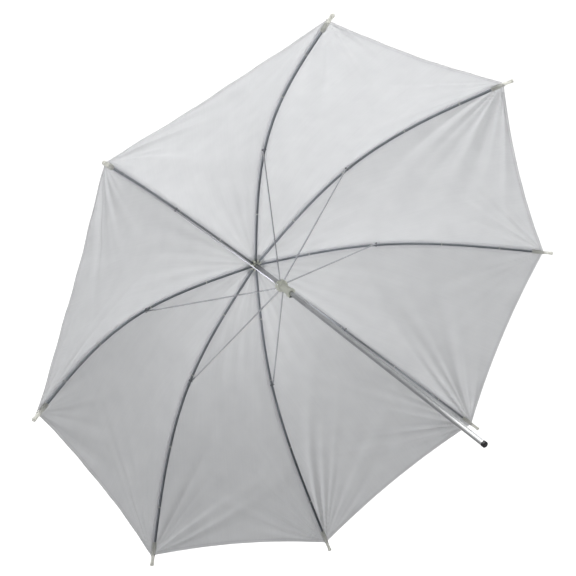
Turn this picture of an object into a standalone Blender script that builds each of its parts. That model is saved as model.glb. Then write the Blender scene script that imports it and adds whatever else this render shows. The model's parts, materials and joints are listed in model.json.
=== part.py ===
"""Umbrella reflector: a white shoot-through photo umbrella, open, with its shaft lying level.

Everything is drawn in the hub's own frame: the crown's centre is the origin and +Z runs
down the shaft to its free end. One empty turns that frame, so that the free end points to
-Y, rib 1 stands straight up, and the world's origin is where a bracket clamps the shaft.
Each rib has a frame of its own on an empty: X outwards, Y sideways, Z along the shaft.
"""
import math

import bmesh
import bpy
from mathutils import Euler, Vector

MM = 0.001
GAP = 0.3 * MM

# Shaft
SHAFT_RADIUS = 4.0 * MM
SHAFT_WALL = 0.8 * MM
SHAFT_TOP = -24.0 * MM
SHAFT_END = 574.0 * MM
CLAMP_FROM_CROWN = 480.0 * MM

# Ribs: the spring steel is bent most where its stretcher pushes
RIB_COUNT = 8
PIVOT_RADIUS = 8.5 * MM
RIB_START_DEG = 5.8
RIB_PEAK_BEND = math.radians(162.8)  # per metre
RIVET_ALONG = 215.5 * MM
RIB_LENGTH = 495.3 * MM
FLEX_ALONG = RIVET_ALONG + 7.0 * MM
FLEX_GAP = 0.8 * MM
RIB_WIDTH = 3.2 * MM
RIB_HEIGHT = 3.0 * MM
RIB_SHEET = 0.5 * MM
RIB_EYE_OVERHANG = 1.9 * MM
WIRE_RADIUS = 0.5 * MM
RIB_EYE_HOLE = 0.9 * MM

# Stretchers: flat struts beside the ribs, as long as the rib's inner stretch
STRETCHER_THICK = 1.4 * MM
STRETCHER_SIDE = 2.6 * MM
STRETCHER_HALF_WIDTH = 1.1 * MM
STRETCHER_EYE = 1.9 * MM
STRETCHER_EYE_HOLE = 1.1 * MM
RIVET_EYE = 1.7 * MM
RIVET_HOLE = 1.0 * MM
RIVET_RADIUS = 0.8 * MM
RIVET_HEAD_RADIUS = 1.5 * MM
RIVET_HEAD = 0.6 * MM

# Rib tips
TIP_SOCKET = 9.0 * MM
TIP_LENGTH = 26.0 * MM
TIP_BORE = 2.35 * MM
TIP_RADIUS = 2.9 * MM
TIP_NOSE_RADIUS = 2.2 * MM

# Canopy
CLOTH_THICK = 0.8 * MM
CLOTH_OFFSET = 3.5 * MM
CLOTH_START = 6.0 * MM
CLOTH_PAST_RIB = 10.0 * MM
CLOTH_SAG = 10.0 * MM
HEM_SCALLOP = 9.0 * MM
CLOTH_ROWS = 14
CLOTH_COLUMNS = 6
CLOTH_ROW_SPREAD = 0.9  # under 1, the rows crowd towards the hem
APEX_RADIUS = 6.9 * MM
APEX_DEPTH = -7.4 * MM

# Catch spring
CATCH_AZIMUTH_DEG = 215.0
CATCH_FACE = 119.0 * MM
CATCH_HEIGHT = 8.0 * MM
CATCH_RAMP = 9.0 * MM
CATCH_LEAF = 36.0 * MM
CATCH_THICK = 1.4 * MM
CATCH_SLOT_WIDTH = 2.0 * MM
CATCH_PIVOT_RADIUS = 2.4 * MM

PARTS = "umbrella_reflector"
CUTTERS = "cutters"

FINISHES = {
    "steel": ((0.55, 0.56, 0.58), 0.25, 1.0),
    "dark_steel": ((0.16, 0.17, 0.19), 0.4, 1.0),
    "white_plastic": ((0.86, 0.86, 0.80), 0.45, 0.0),
    "black_plastic": ((0.02, 0.02, 0.02), 0.4, 0.0),
    "white_cloth": ((0.85, 0.86, 0.88), 0.85, 0.0),
}


# ---------------------------------------------------------------- scene helpers

def clear_scene():
    for obj in list(bpy.data.objects):
        bpy.data.objects.remove(obj, do_unlink=True)


def collection(name):
    found = bpy.data.collections.get(name)
    if found is None:
        found = bpy.data.collections.new(name)
        bpy.context.scene.collection.children.link(found)
    return found


def finish(name):
    """The Principled material of one finish."""
    found = bpy.data.materials.get(name)
    if found:
        return found
    color, roughness, metallic = FINISHES[name]
    made = bpy.data.materials.new(name)
    made.use_nodes = True
    shader = made.node_tree.nodes["Principled BSDF"]
    shader.inputs["Base Color"].default_value = (*color, 1.0)
    shader.inputs["Roughness"].default_value = roughness
    shader.inputs["Metallic"].default_value = metallic
    return made


def add_part(obj, material, parent):
    """Files an object as a part, with its finish, under its parent empty."""
    for used in list(obj.users_collection):
        used.objects.unlink(obj)
    collection(PARTS).objects.link(obj)
    obj.data.materials.clear()
    obj.data.materials.append(finish(material))
    obj.parent = parent
    return obj


def add_cutter(obj, parent):
    for used in list(obj.users_collection):
        used.objects.unlink(obj)
    collection(CUTTERS).objects.link(obj)
    obj.hide_render = True
    obj.display_type = "WIRE"
    obj.parent = parent
    return obj


def empty(name, parent, location=(0, 0, 0), rotation=(0, 0, 0)):
    made = bpy.data.objects.new(name, None)
    made.empty_display_size = 0.01
    made.location = location
    made.rotation_euler = rotation
    made.parent = parent
    collection(PARTS).objects.link(made)
    return made


def cut(obj, cutter):
    boolean = obj.modifiers.new("cut", "BOOLEAN")
    boolean.operation = "DIFFERENCE"
    boolean.solver = "EXACT"
    boolean.object = cutter


def mesh_object(name, mesh):
    made = bpy.data.objects.new(name, mesh)
    bpy.context.scene.collection.objects.link(made)
    return made


# ---------------------------------------------------------------- shape helpers

def lathe(name, profile, steps, closed=True):
    """A turned solid about Z. The profile's outer side runs from top to bottom."""
    mesh = bpy.data.meshes.new(name)
    last = len(profile) - 1
    edges = [(i, i + 1) for i in range(last)]
    if closed:
        edges.append((last, 0))
    mesh.from_pydata([(r, 0, z) for r, z in profile], edges, [])
    obj = mesh_object(name, mesh)
    screw = obj.modifiers.new("turn", "SCREW")
    screw.axis = "Z"
    screw.steps = steps
    screw.render_steps = steps
    screw.use_merge_vertices = True
    screw.merge_threshold = 0.00001
    return obj


def cylinder(name, radius, length, axis, centre, sides=16):
    """A plain cylinder along X, Y or Z."""
    mesh = bpy.data.meshes.new(name)
    shape = bmesh.new()
    bmesh.ops.create_cone(
        shape, cap_ends=True, segments=sides, radius1=radius, radius2=radius, depth=length
    )
    shape.to_mesh(mesh)
    shape.free()
    obj = mesh_object(name, mesh)
    turns = {"X": (0, math.pi / 2, 0), "Y": (math.pi / 2, 0, 0), "Z": (0, 0, 0)}
    obj.rotation_euler = turns[axis]
    obj.location = centre
    return obj


def slot_boxes(name, low, high, side):
    """Eight boxes round the hub, one in line with each rib, shifted sideways."""
    mesh = bpy.data.meshes.new(name)
    shape = bmesh.new()
    size = [b - a for a, b in zip(low, high)]
    middle = Vector([(a + b) / 2 for a, b in zip(low, high)]) + Vector((0, side, 0))
    for number in range(RIB_COUNT):
        box = bmesh.ops.create_cube(shape, size=1.0)["verts"]
        for vert in box:
            vert.co = Vector([c * s for c, s in zip(vert.co, size)]) + middle
        bmesh.ops.rotate(
            shape, verts=box, cent=(0, 0, 0), matrix=rib_turn(number).to_matrix()
        )
    shape.to_mesh(mesh)
    shape.free()
    return mesh_object(name, mesh)


def curve_to_mesh(obj, name):
    """Swaps a curve for a welded mesh that stands in the same place."""
    graph = bpy.context.evaluated_depsgraph_get()
    mesh = bpy.data.meshes.new_from_object(obj.evaluated_get(graph))
    shape = bmesh.new()
    shape.from_mesh(mesh)
    bmesh.ops.remove_doubles(shape, verts=shape.verts, dist=0.00001)
    bmesh.ops.recalc_face_normals(shape, faces=shape.faces)
    shape.to_mesh(mesh)
    shape.free()
    mesh.name = name
    made = mesh_object(name, mesh)
    made.matrix_world = obj.matrix_world.copy()
    bpy.data.objects.remove(obj, do_unlink=True)
    return made


def poly_curve(name, loops, closed=True):
    """A flat curve object with one POLY spline for each loop of points."""
    data = bpy.data.curves.new(name, "CURVE")
    data.dimensions = "2D"
    for points in loops:
        spline = data.splines.new("POLY")
        spline.points.add(len(points) - 1)
        for point, (x, y) in zip(spline.points, points):
            point.co = (x, y, 0, 1)
        spline.use_cyclic_u = closed
    return mesh_object(name, data)


def arc(centre, radius, start_deg, end_deg, count):
    steps = [start_deg + (end_deg - start_deg) * i / count for i in range(count + 1)]
    return [
        (
            centre[0] + radius * math.cos(math.radians(a)),
            centre[1] + radius * math.sin(math.radians(a)),
        )
        for a in steps
    ]


# ---------------------------------------------------------------- the rib's line

def rib_turn(number):
    """The turn about the shaft that carries X onto a rib, from rib 1 straight up."""
    step = 2 * math.pi / RIB_COUNT
    return Euler((0, 0, math.pi / 2 - number * step))


def rib_angle(along):
    """The rib's slope towards the free end, in radians, at a distance along it."""
    start = math.radians(RIB_START_DEG)
    inner = min(along, RIVET_ALONG)
    angle = start + RIB_PEAK_BEND * inner * inner / (2 * RIVET_ALONG)
    if along > RIVET_ALONG:
        past = min(along, RIB_LENGTH) - RIVET_ALONG
        outer = RIB_LENGTH - RIVET_ALONG
        angle += RIB_PEAK_BEND * (past - past * past / (2 * outer))
    return angle


def rib_point(along, lift=0.0):
    """A point on the rib's line, as (out, down the shaft) from the rib's pivot.

    lift moves it outwards, off the canopy's convex side.
    """
    steps = 80
    length = along / steps
    out = depth = 0.0
    for i in range(steps):
        angle = rib_angle((i + 0.5) * length)
        out += length * math.cos(angle)
        depth += length * math.sin(angle)
    angle = rib_angle(along)
    return out + lift * math.sin(angle), depth - lift * math.cos(angle)


def channel(name, start, end, stations):
    """A stretch of rib: a U of thin steel, open towards the inside of the canopy."""
    half = RIB_WIDTH / 2
    top = RIB_HEIGHT / 2
    sheet = RIB_SHEET
    section = [
        (-top, -half), (top, -half), (top, -half + sheet), (-top + sheet, -half + sheet),
        (-top + sheet, half - sheet), (top, half - sheet), (top, half), (-top, half),
    ]
    profile = poly_curve(name + "_section", [section])
    steps = [start + (end - start) * i / (stations - 1) for i in range(stations)]
    line = poly_curve(name + "_line", [[rib_point(s) for s in steps]], closed=False)
    line.data.bevel_mode = "OBJECT"
    line.data.bevel_object = profile
    line.data.use_fill_caps = True
    line.rotation_euler = (math.pi / 2, 0, 0)
    bpy.context.view_layer.update()
    made = curve_to_mesh(line, name)
    bpy.data.objects.remove(profile, do_unlink=True)
    return made


# ---------------------------------------------------------------- shaft and hub

def build_shaft(hub):
    inner = SHAFT_RADIUS - SHAFT_WALL
    tube = lathe("shaft_tube", [
        (inner, SHAFT_END), (SHAFT_RADIUS, SHAFT_END),
        (SHAFT_RADIUS, SHAFT_TOP), (inner, SHAFT_TOP),
    ], 24)
    add_part(tube, "steel", hub)
    slot_length = CATCH_RAMP + 3 * MM
    mesh = bpy.data.meshes.new("catch_slot_cutter")
    shape = bmesh.new()
    bmesh.ops.create_cube(shape, size=1.0)
    bmesh.ops.scale(shape, verts=shape.verts, vec=(SHAFT_RADIUS, CATCH_SLOT_WIDTH, slot_length))
    bmesh.ops.translate(
        shape, verts=shape.verts,
        vec=(SHAFT_RADIUS, 0, CATCH_FACE - 1 * MM + slot_length / 2),
    )
    shape.to_mesh(mesh)
    shape.free()
    cutter = add_cutter(mesh_object("catch_slot_cutter", mesh), hub)
    cutter.rotation_euler = catch_turn()
    cut(tube, cutter)


def build_end_cap(hub):
    """The black plug in the shaft's free end, with a flat outer face."""
    plug = SHAFT_RADIUS - SHAFT_WALL - GAP
    face = SHAFT_END + 4.5 * MM
    add_part(lathe("end_cap", [
        (0, face), (3.4 * MM, face), (4.1 * MM, face - 0.7 * MM),
        (4.3 * MM, SHAFT_END + GAP), (plug, SHAFT_END + GAP),
        (plug, SHAFT_END - 9 * MM), (0, SHAFT_END - 9 * MM),
    ], 24, closed=False), "black_plastic", hub)


def build_crown(hub):
    """The slotted hub, its wire and the pin that holds it on the shaft."""
    bore = SHAFT_RADIUS + GAP
    rim = 10.2 * MM
    groove = PIVOT_RADIUS - WIRE_RADIUS - GAP
    crown = lathe("crown", [
        (bore, 2.6 * MM), (rim - 0.5 * MM, 2.6 * MM), (rim, 2.1 * MM),
        (rim, 0.8 * MM), (groove, 0.8 * MM), (groove, -0.8 * MM), (rim, -0.8 * MM),
        (rim, -3.4 * MM), (6.0 * MM, -3.8 * MM), (6.0 * MM, -7.0 * MM), (bore, -7.0 * MM),
    ], 32)
    add_part(crown, "white_plastic", hub)
    half = RIB_WIDTH / 2 + 0.35 * MM
    slots = slot_boxes(
        "crown_slot_cutter", (5.9 * MM, -half, -2.65 * MM), (12 * MM, half, 5 * MM), 0
    )
    cut(crown, add_cutter(slots, hub))
    pin_depth = -5.4 * MM
    hole = cylinder("crown_pin_cutter", 0.9 * MM, 20 * MM, "X", (0, 0, pin_depth), 12)
    add_cutter(hole, hub)
    cut(crown, hole)
    cut(bpy.data.objects["shaft_tube"], hole)
    pin = cylinder("crown_pin", 0.6 * MM, 11.6 * MM, "X", (0, 0, pin_depth), 12)
    add_part(pin, "dark_steel", hub)
    add_part(wire_ring("crown_wire", PIVOT_RADIUS, 0), "dark_steel", hub)


def wire_ring(name, radius, depth):
    """A closed ring of round wire about the shaft."""
    bpy.ops.mesh.primitive_torus_add(
        major_radius=radius, minor_radius=WIRE_RADIUS,
        major_segments=40, minor_segments=6, location=(0, 0, depth),
    )
    ring = bpy.context.object
    ring.name = name
    ring.data.name = name
    return ring


def build_top(hub):
    """The washer over the cloth and the cap on the shaft's outer end."""
    bore = SHAFT_RADIUS + GAP
    add_part(lathe("apex_washer", [
        (bore, -9.1 * MM), (9.0 * MM, -9.1 * MM), (9.4 * MM, -9.5 * MM),
        (8.6 * MM, -10.3 * MM), (bore, -10.3 * MM),
    ], 28), "white_plastic", hub)
    add_part(lathe("top_cap", [
        (0, SHAFT_TOP - GAP), (bore, SHAFT_TOP - GAP), (bore, -10.6 * MM),
        (6.8 * MM, -10.6 * MM), (7.0 * MM, -14 * MM), (5.6 * MM, -17 * MM),
        (5.3 * MM, -30 * MM), (4.4 * MM, -31.6 * MM), (0, -32.4 * MM),
    ], 24, closed=False), "white_plastic", hub)


def catch_turn():
    """The turn about the shaft that carries X onto the catch's side of it."""
    return Euler((0, 0, math.pi / 2 - math.radians(CATCH_AZIMUTH_DEG)))


def build_catch(hub):
    """The catch spring: a wedge on a leaf that is held inside the shaft."""
    anchor = CATCH_FACE + CATCH_LEAF
    leaf_top = 2.8 * MM
    leaf_low = 2.0 * MM
    outline = [
        (leaf_low, CATCH_FACE), (CATCH_HEIGHT, CATCH_FACE),
        (CATCH_HEIGHT - 0.6 * MM, CATCH_FACE + 1.2 * MM),
        (leaf_top, CATCH_FACE + CATCH_RAMP),
        (leaf_top, anchor + 1.2 * MM), (-leaf_top, anchor + 4.4 * MM),
        (-leaf_top, anchor + 3.4 * MM), (leaf_low, anchor),
    ]
    flat = poly_curve("catch_outline", [outline])
    flat.data.fill_mode = "BOTH"
    flat.data.extrude = CATCH_THICK / 2
    flat.rotation_euler = (math.pi / 2, 0, 0)
    bpy.context.view_layer.update()
    spring = curve_to_mesh(flat, "catch_spring")
    place = Vector((CATCH_PIVOT_RADIUS, 0, anchor))
    spring.location = -place
    place.rotate(catch_turn())
    add_part(spring, "steel", empty("catch_pivot", hub, place, catch_turn()))


# ---------------------------------------------------------------- runner

def runner_depth():
    """How far the runner's wire is from the crown's: the two struts are equal."""
    return 2 * rib_point(RIVET_ALONG)[1]


def build_runner(hub):
    """The toothed sleeve that slides on the shaft, and its wire."""
    bore = SHAFT_RADIUS + GAP
    rim = 10.4 * MM
    wire = math.hypot(PIVOT_RADIUS, STRETCHER_SIDE)
    groove = wire - WIRE_RADIUS - 0.35 * MM
    pivot = empty("runner_pivot", hub, location=(0, 0, runner_depth()))
    runner = lathe("runner", [
        (bore, 31 * MM), (7.4 * MM, 31 * MM), (8.0 * MM, 30.2 * MM), (8.0 * MM, 27.5 * MM),
        (6.6 * MM, 25.5 * MM), (6.4 * MM, 4.2 * MM), (rim - 0.4 * MM, 2.9 * MM),
        (rim, 2.5 * MM), (rim, 0.8 * MM), (groove, 0.8 * MM), (groove, -0.8 * MM),
        (rim, -0.8 * MM), (rim, -2.6 * MM), (6.4 * MM, -3.0 * MM), (6.1 * MM, -8 * MM),
        (bore, -8 * MM),
    ], 32)
    add_part(runner, "white_plastic", pivot)
    half = STRETCHER_THICK / 2 + 0.35 * MM
    slots = slot_boxes(
        "runner_slot_cutter", (6.45 * MM, -half, -12 * MM), (13 * MM, half, 2.3 * MM),
        STRETCHER_SIDE,
    )
    cut(runner, add_cutter(slots, pivot))
    add_part(wire_ring("runner_wire", wire, 0), "dark_steel", pivot)


# ---------------------------------------------------------------- one rib's pieces

def build_rib(number, rib, flex):
    """The rib's two stretches, with the holes for the crown's wire and the rivet."""
    inner = channel(
        f"rib_{number}_inner", -RIB_EYE_OVERHANG, FLEX_ALONG - FLEX_GAP / 2, 15
    )
    outer = channel(
        f"rib_{number}_outer", FLEX_ALONG + FLEX_GAP / 2, RIB_LENGTH, 18
    )
    add_part(inner, "dark_steel", rib)
    outer.location = -flex.location
    add_part(outer, "dark_steel", flex)
    rivet_out, rivet_down = rib_point(RIVET_ALONG)
    for label, radius, out, down in (
        ("eye", RIB_EYE_HOLE, 0, 0), ("rivet", RIVET_HOLE, rivet_out, rivet_down)
    ):
        name = f"rib_{number}_{label}_cutter"
        hole = cylinder(name, radius, 2 * RIB_WIDTH, "Y", (out, 0, down), 12)
        cut(inner, add_cutter(hole, rib))


def build_rivet(number, rib):
    """The rivet through the rib and its stretcher, with a head at each end."""
    near = -RIB_WIDTH / 2 - GAP
    far = STRETCHER_SIDE + STRETCHER_THICK / 2 + GAP
    rivet = lathe(f"rivet_{number}", [
        (0, far + RIVET_HEAD), (RIVET_HEAD_RADIUS, far + RIVET_HEAD),
        (RIVET_HEAD_RADIUS, far), (RIVET_RADIUS, far), (RIVET_RADIUS, near),
        (RIVET_HEAD_RADIUS, near), (RIVET_HEAD_RADIUS, near - RIVET_HEAD),
        (0, near - RIVET_HEAD),
    ], 12, closed=False)
    out, down = rib_point(RIVET_ALONG)
    rivet.rotation_euler = (-math.pi / 2, 0, 0)
    rivet.location = (out, 0, down)
    add_part(rivet, "dark_steel", rib)


def build_stretcher(number, rib):
    """The strut from the rivet back to the runner. Its origin is on the rivet's axis."""
    out, down = rib_point(RIVET_ALONG)
    length = math.hypot(out, down)
    half = STRETCHER_HALF_WIDTH
    open_eye = math.degrees(math.asin(half / STRETCHER_EYE))
    open_rivet = math.degrees(math.asin(half / RIVET_EYE))
    outline = arc((length, 0), STRETCHER_EYE, -180 + open_eye, 180 - open_eye, 14)
    outline += arc((0, 0), RIVET_EYE, open_rivet, 360 - open_rivet, 12)
    loops = [
        outline,
        arc((length, 0), STRETCHER_EYE_HOLE, 0, 330, 11),
        arc((0, 0), RIVET_HOLE, 0, 330, 11),
    ]
    flat = poly_curve(f"stretcher_{number}_outline", loops)
    flat.data.fill_mode = "BOTH"
    flat.data.extrude = STRETCHER_THICK / 2
    flat.rotation_euler = (math.pi / 2, 0, 0)
    bpy.context.view_layer.update()
    strut = curve_to_mesh(flat, f"stretcher_{number}")
    pivot = empty(f"stretcher_pivot_{number}", rib, location=(out, STRETCHER_SIDE, down))
    pivot.rotation_euler = (0, -(math.pi - math.atan2(down, out)), 0)
    add_part(strut, "steel", pivot)


def build_tip(number, flex):
    """The white plastic tip: a socket for the rib's end and a rounded nose."""
    angle = rib_angle(RIB_LENGTH)
    out, down = rib_point(RIB_LENGTH)
    nose = TIP_NOSE_RADIUS
    tip = lathe(f"rib_tip_{number}", [
        (0, TIP_LENGTH), (0.6 * nose, TIP_LENGTH - 0.3 * MM), (nose, TIP_LENGTH - 1.6 * MM),
        (nose, 8 * MM), (TIP_RADIUS, 3 * MM), (TIP_RADIUS, -TIP_SOCKET),
        (TIP_BORE, -TIP_SOCKET), (TIP_BORE, GAP), (0, GAP),
    ], 14, closed=False)
    tip.rotation_euler = (0, math.pi / 2 - angle, 0)
    tip.location = Vector((out, 0, down)) - flex.location
    add_part(tip, "white_plastic", flex)


# ---------------------------------------------------------------- canopy

def cloth_point(share, across):
    """A point on the cloth's inner face in a rib's frame, measured from the shaft's axis.

    share runs from the apex to the hem, across from the middle of one gore (-1) over the
    rib (0) to the middle of the next gore (1).
    """
    part_way = abs(across) / 2
    bow = 4 * part_way * (1 - part_way)
    hem = RIB_LENGTH + CLOTH_PAST_RIB - HEM_SCALLOP * bow
    if share == 0:
        radius, down, angle, sag = APEX_RADIUS, APEX_DEPTH, 0.0, 0.0
    else:
        along = CLOTH_START + (hem - CLOTH_START) * share
        out, down = rib_point(along, CLOTH_OFFSET)
        radius = PIVOT_RADIUS + out
        angle = rib_angle(along)
        sag = CLOTH_SAG * bow * math.sin(math.pi * min(share, 1.0)) ** 0.7
    step = 2 * math.pi / RIB_COUNT
    side = math.copysign(1.0, across)
    x = radius * (1 - part_way + part_way * math.cos(step))
    y = side * radius * part_way * math.sin(step)
    x -= sag * math.sin(angle) * math.cos(step * part_way)
    y -= side * sag * math.sin(angle) * math.sin(step * part_way)
    return x, y, down + sag * math.cos(angle)


def build_cloth(number, flex):
    """The cloth held by one rib: half a gore to either side of its seam."""
    mesh = bpy.data.meshes.new(f"canopy_panel_{number}")
    shape = bmesh.new()
    bmesh.ops.create_grid(shape, x_segments=CLOTH_ROWS, y_segments=CLOTH_COLUMNS, size=1.0)
    chord = 2 * math.sin(math.pi / RIB_COUNT)
    for vert in shape.verts:
        share = max(0.0, (vert.co.x + 1) / 2) ** CLOTH_ROW_SPREAD
        across = vert.co.y
        if share < 1e-4:
            share = 0
        radius = cloth_point(share, 0)[0]
        across *= 1 - GAP / (radius * chord)
        x, y, z = cloth_point(share, across)
        vert.co = (x - PIVOT_RADIUS, y, z)
    bmesh.ops.recalc_face_normals(shape, faces=shape.faces)
    shape.to_mesh(mesh)
    shape.free()
    panel = mesh_object(f"canopy_panel_{number}", mesh)
    solid = panel.modifiers.new("thickness", "SOLIDIFY")
    solid.thickness = CLOTH_THICK
    solid.offset = -1.0 if mesh.polygons[0].normal.z > 0 else 1.0
    panel.location = -flex.location
    add_part(panel, "white_cloth", flex)


def build_rib_group(number, hub):
    """Everything that one rib carries, drawn in the rib's own frame."""
    turn = rib_turn(number - 1)
    place = Vector((PIVOT_RADIUS, 0, 0))
    place.rotate(turn)
    rib = empty(f"rib_pivot_{number}", hub, location=place, rotation=turn)
    flex_out, flex_down = rib_point(FLEX_ALONG)
    flex = empty(f"rib_flex_{number}", rib, location=(flex_out, 0, flex_down))
    build_rib(number, rib, flex)
    build_rivet(number, rib)
    build_stretcher(number, rib)
    build_tip(number, flex)
    build_cloth(number, flex)


def main():
    clear_scene()
    hub = empty(
        "hub_frame", None, location=(0, CLAMP_FROM_CROWN, 0), rotation=(math.pi / 2, 0, 0)
    )
    build_shaft(hub)
    build_end_cap(hub)
    build_crown(hub)
    build_top(hub)
    build_catch(hub)
    build_runner(hub)
    for number in range(1, RIB_COUNT + 1):
        build_rib_group(number, hub)
    bpy.context.view_layer.update()


main()
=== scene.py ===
"""The looks of the umbrella reflector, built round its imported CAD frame.

Each rib k has a frame of its own: out from the shaft, sideways, and down the shaft to its
free end. The canopy is one surface, canopy_surface, which every cloth piece is cut from, so
its pieces meet edge to edge. Lengths are in metres.
"""
import json
import math
import random

import bmesh
import bpy
import numpy as np
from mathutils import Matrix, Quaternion, Vector


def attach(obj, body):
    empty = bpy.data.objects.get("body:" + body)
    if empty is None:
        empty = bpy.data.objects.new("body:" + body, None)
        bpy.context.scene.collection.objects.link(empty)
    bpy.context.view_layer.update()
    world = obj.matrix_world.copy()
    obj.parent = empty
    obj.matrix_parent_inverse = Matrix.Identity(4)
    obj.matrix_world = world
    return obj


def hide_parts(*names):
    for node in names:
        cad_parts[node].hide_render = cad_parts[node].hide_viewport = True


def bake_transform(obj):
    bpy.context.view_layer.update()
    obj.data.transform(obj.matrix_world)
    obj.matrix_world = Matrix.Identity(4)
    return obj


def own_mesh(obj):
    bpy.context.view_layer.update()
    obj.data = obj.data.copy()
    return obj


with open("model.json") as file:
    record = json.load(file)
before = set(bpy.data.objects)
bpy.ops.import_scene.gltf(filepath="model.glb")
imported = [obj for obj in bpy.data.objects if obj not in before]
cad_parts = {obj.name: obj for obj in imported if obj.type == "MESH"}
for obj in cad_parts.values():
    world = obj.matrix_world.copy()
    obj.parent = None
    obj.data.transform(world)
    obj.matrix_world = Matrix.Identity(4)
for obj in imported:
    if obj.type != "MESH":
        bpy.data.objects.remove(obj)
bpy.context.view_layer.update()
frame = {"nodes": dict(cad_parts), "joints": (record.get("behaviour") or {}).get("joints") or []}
JOINTS = {joint["name"]: joint for joint in frame["joints"]}

MM = 0.001

# The frame's own sizes, as the CAD has them
RIB_COUNT = 8
RIB_STEP = 2 * math.pi / RIB_COUNT
PIVOT_RADIUS = 8.5 * MM
CROWN_Y = JOINTS["canopy_fold"]["pos_m"][1]
RIB_START = math.radians(5.8)
RIB_PEAK_BEND = math.radians(162.8)  # per metre
RIVET_ALONG = 215.5 * MM
FLEX_ALONG = RIVET_ALONG + 7 * MM
RIB_LENGTH = 495.3 * MM
RIB_EYE_OVERHANG = 1.9 * MM
RIB_WIDTH = 3.2 * MM
RIB_HEIGHT = 3.0 * MM
RIB_SHEET = 0.5 * MM
CLOTH_OFFSET = 3.5 * MM
CLOTH_START = 6 * MM
CLOTH_PAST_RIB = 10 * MM
CLOTH_SAG = 10 * MM
HEM_SCALLOP = 9 * MM

APEX_RADIUS = 6.9 * MM
APEX_DEPTH = -7.4 * MM
APEX_SHARE = 0.02
TIP_SOCKET = 9 * MM
TIP_LENGTH = 26 * MM
TIP_BORE = 2.35 * MM

# The tips' radii, 0.5 mm over the CAD's
TIP_RADIUS = 3.4 * MM
TIP_NOSE_RADIUS = 2.7 * MM

# Cloth: a sheet's faces are its inner and outer offsets from the canopy's surface
CLOTH_THICK = 0.3 * MM
HEM_WIDTH = 5 * MM
HEM_FACES = (-0.3 * MM, 0.6 * MM)
SEAM_SIDES = (-5.5 * MM, 6.5 * MM)
SEAM_FACES = (-0.35 * MM, -0.05 * MM)
SEAM_REACH = 2 * MM
ROSETTE_REACH = 0.012
CUT_BOW = 0.02
TIES_ALONG = (90 * MM, 205 * MM, 330 * MM, 430 * MM)
THREAD_RADIUS = 0.24 * MM

# How finely the pieces are cut
INNER_ROWS = 40
OUTER_ROWS = 84
CLOTH_COLUMNS = 42
SEAM_INNER_ROWS = 34
SEAM_OUTER_ROWS = 44
SEAM_COLUMNS = 15
ROSETTE_ROWS = 8
ROSETTE_COLUMNS = 8  # per gore
RIB_ROWS = 110
THREAD_SIDES = 6

# How far from the flex, each way, a rib straightens as the umbrella closes; here only the rib's
# places there are worked out
FLEX_REACH = 0.09

# How a half gore folds into a pleat: its tilt from the rib's side, the slope of the line that
# points out from the shaft once closed, and how far off the flex its fold line lies. Only an
# axis and an anchor are worked out from these; the cloth is not folded here.
PLEAT_INNER = (math.radians(28), math.radians(76), -7 * MM)
PLEAT_OUTER = (math.radians(32), math.radians(58), -3 * MM)

# How strongly each gore wrinkles at its two tips, on the lower-numbered rib and the higher
TIP_FANS = {
    1: (1.2, 0.6), 2: (2.2, 0.7), 3: (0.7, 2.2), 4: (2.2, 1.1),
    5: (1.9, 1.4), 6: (1.0, 0.7), 7: (0.9, 1.1), 8: (1.6, 0.6),
}
# Single folds that stand out at a gore's tip: bearing and spread in degrees, reach, height
TIP_FOLDS = {
    (2, 0): ((22, 3.4, 0.17, 5 * MM), (36, 3.4, 0.15, -4 * MM)),
    (3, 1): ((14, 3.2, 0.17, 8 * MM), (22, 3.0, 0.15, -6 * MM), (31, 3.4, 0.17, 8 * MM)),
    (4, 0): ((17, 3.0, 0.21, 6 * MM), (33, 2.8, 0.21, 6 * MM), (44, 3.0, 0.18, -4 * MM)),
    (4, 1): ((9, 3.0, 0.13, 8 * MM), (17, 3.2, 0.12, -9 * MM), (27, 3.4, 0.11, 6 * MM)),
    (5, 0): ((16, 3.0, 0.14, 4 * MM),),
}
# How strongly painted shade follows each gore's folds in the cloth's colour, lighter on one side
# and darker on the other, in the gores where the light alone leaves them faint. The other gores
# have no painted shade.
PAINTED_FOLD_SHADE_STRENGTHS = {3: 1.0, 4: 1.0, 5: 0.7}

# The random folds at every tip
FAN_FOLDS = 9
FAN_BEARINGS = (5, 78)  # degrees: the first, and how many they cover
FAN_SPREADS = (3.0, 5.4)  # degrees
FAN_REACHES = (0.06, 0.19)
FAN_HEIGHT = 7.0 * MM

CAMERA_PLACE = Vector((-0.6471, -0.7464, 0.6908))
CAMERA_AIM = Vector((-0.0420, 0.3000, 0.0494))
CAMERA_ROLL = math.radians(-1.15)
CAMERA_LENS = 56.98

# The floor, and where it starts to glow behind the umbrella and glows in full
FLOOR_LEVEL = -2.5
FLOOR_SIZE = 30
FLOOR_DARK_Y = 0.6
FLOOR_LIT_Y = 1.4
FLOOR_DARK_X = -1.1
FLOOR_LIT_X = -0.35
FLOOR_GLOW = 0.8

# The sky: a bright side, and a band round the horizon
WORLD_BRIGHT_SIDE = (-0.4, 1, 1.1)
WORLD_BRIGHT = 2.3
WORLD_BRIGHT_NARROW = 3.0
WORLD_BAND = 0.3
WORLD_BAND_NARROW = 25.0

# Area lights: name, place, size, power and colour
WHITE = (1, 1, 1)
LIGHT_AIM = (0, 0.35, 0)
LIGHTS = (
    ("overhead", (-0.1, 0.7, 1.9), (1.5, 1.3), 22, WHITE),
    ("right_side", (1.9, 0.8, 0.6), (1.1, 1.1), 12, WHITE),
    ("front_low", (0.45, -1.9, -0.75), (0.6, 0.6), 4, (0.93, 0.93, 1)),
    ("lens_side", (-0.9, -1.1, 0.95), (0.8, 0.8), 1.0, WHITE),
)

# The spot on the crown and the runner
HUB_POWER = 27
HUB_SPOT_PLACE = (-0.75, -1.0, 0.45)
HUB_SPOT_AIM = (0, 0.42, 0)
HUB_SPOT_SPREAD = math.radians(22)
HUB_SPOT_SOFT = 0.2


# ---------------------------------------------------------------- places on the frame

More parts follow.
